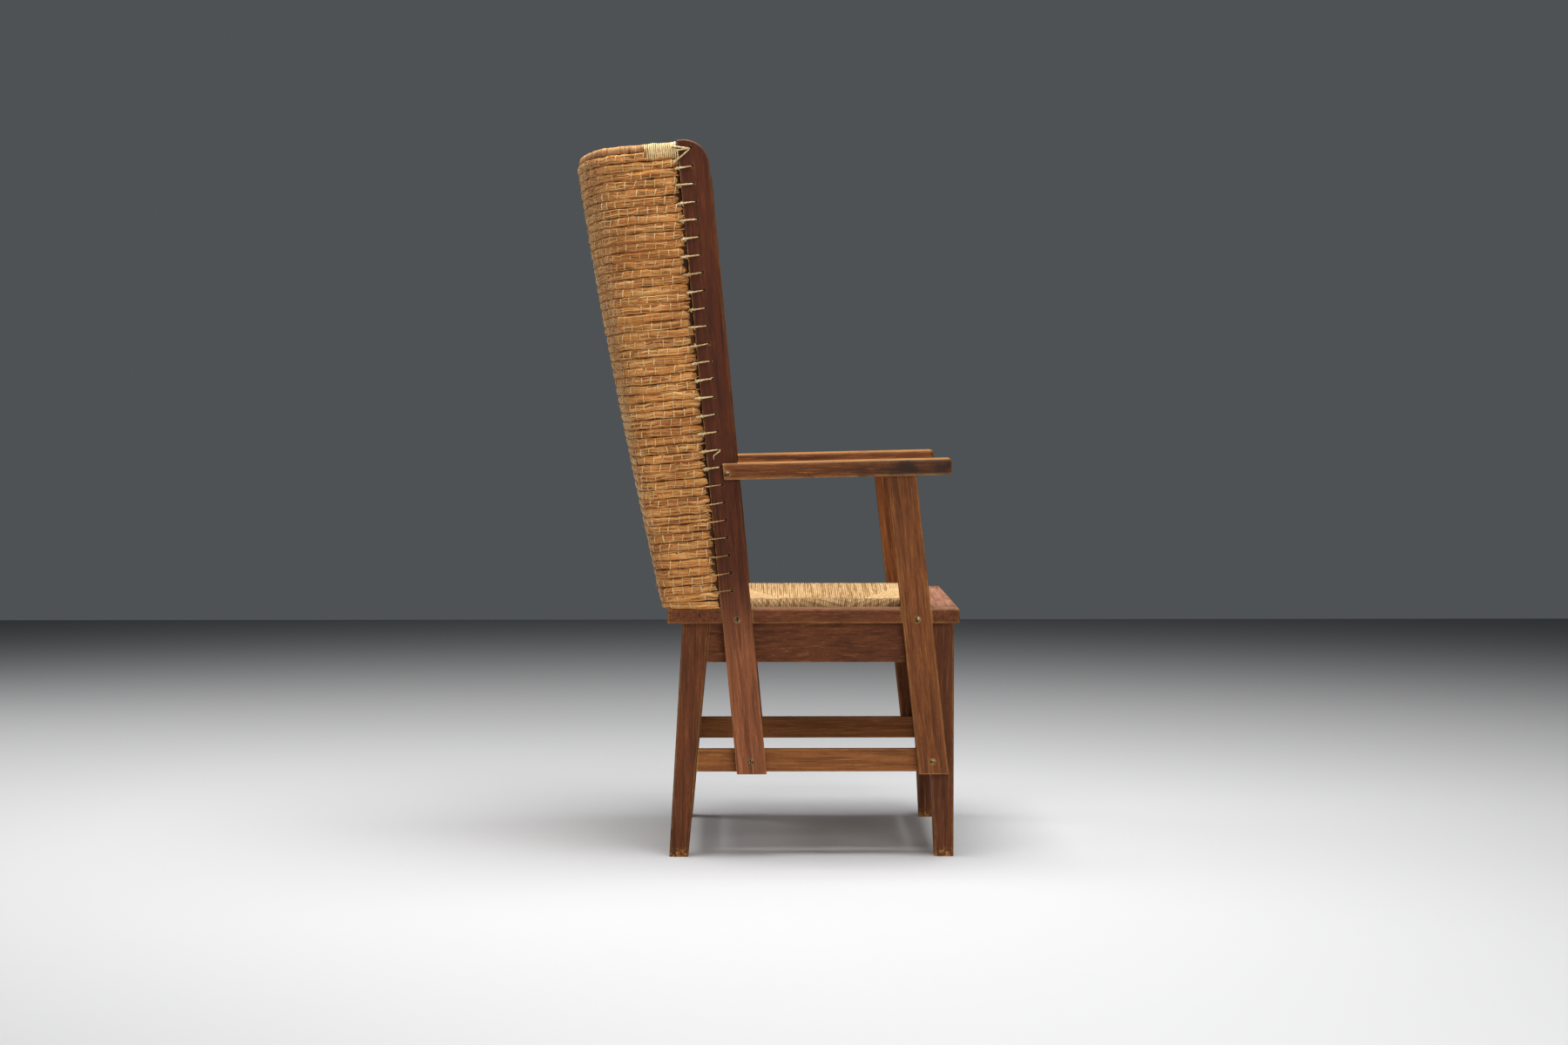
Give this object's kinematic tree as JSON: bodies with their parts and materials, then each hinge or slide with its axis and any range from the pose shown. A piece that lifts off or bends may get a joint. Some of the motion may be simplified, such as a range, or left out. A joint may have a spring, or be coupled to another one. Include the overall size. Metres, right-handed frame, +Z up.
{
  "type": "orkney chair",
  "caption": "Low wooden armchair with a tall hooded back of stitched straw rows laced to raked uprights, and a drop-in woven rush seat.",
  "frame": {"origin": "on the floor under the middle of the chair's outline", "axes": "the sitter faces -Y, +X is the sitter's left, +Z is up; the chair is alike on both sides of X = 0"},
  "size_m": [0.57, 0.6248, 1.1587],
  "materials": {
    "base_wood": "oiled red-brown hardwood, worn",
    "seat_wood": "oiled red-brown hardwood, polished by use",
    "post_wood": "oiled brown hardwood with open grain",
    "arm_wood": "brown hardwood, edges worn pale",
    "slip_wood": "plain unfinished wood",
    "screw_metal": "aged slotted screws",
    "lacing_cord": "pale twine",
    "straw": "dry oat straw, stitched",
    "straw_rim": "straw roll bound with twine",
    "rush": "woven pale rush cord"
  },
  "bodies": {
    "frame": {"front_leg_left": "base_wood", "front_leg_right": "base_wood", "rear_leg_left": "base_wood", "rear_leg_right": "base_wood", "side_apron_left": "base_wood", "side_apron_right": "base_wood", "side_stretcher_left": "base_wood", "side_stretcher_right": "base_wood", "front_apron": "base_wood", "rear_apron": "base_wood", "front_stretcher": "base_wood", "rear_stretcher": "base_wood", "seat_front_rail": "seat_wood", "seat_rear_rail": "seat_wood", "seat_side_rail_left": "seat_wood", "seat_side_rail_right": "seat_wood", "back_upright_left": "post_wood", "back_upright_right": "post_wood", "arm_post_left": "post_wood", "arm_post_right": "post_wood", "armrest_left": "arm_wood", "armrest_right": "arm_wood", "post_screws": "screw_metal", "armrest_screws": "screw_metal", "lacing_left": "lacing_cord", "lacing_right": "lacing_cord", "straw_back": "straw", "straw_rim": "straw_rim"},
    "drop_in_seat": {"slip_rail_front": "slip_wood", "slip_rail_rear": "slip_wood", "slip_rail_left": "slip_wood", "slip_rail_right": "slip_wood", "rush_seat": "rush"}
  },
  "joints": [
    {"name": "seat_lift", "type": "slide", "parent": "frame", "child": "drop_in_seat", "axis": [0, 0, 1], "range_m": [0, 0.1]}
  ]
}
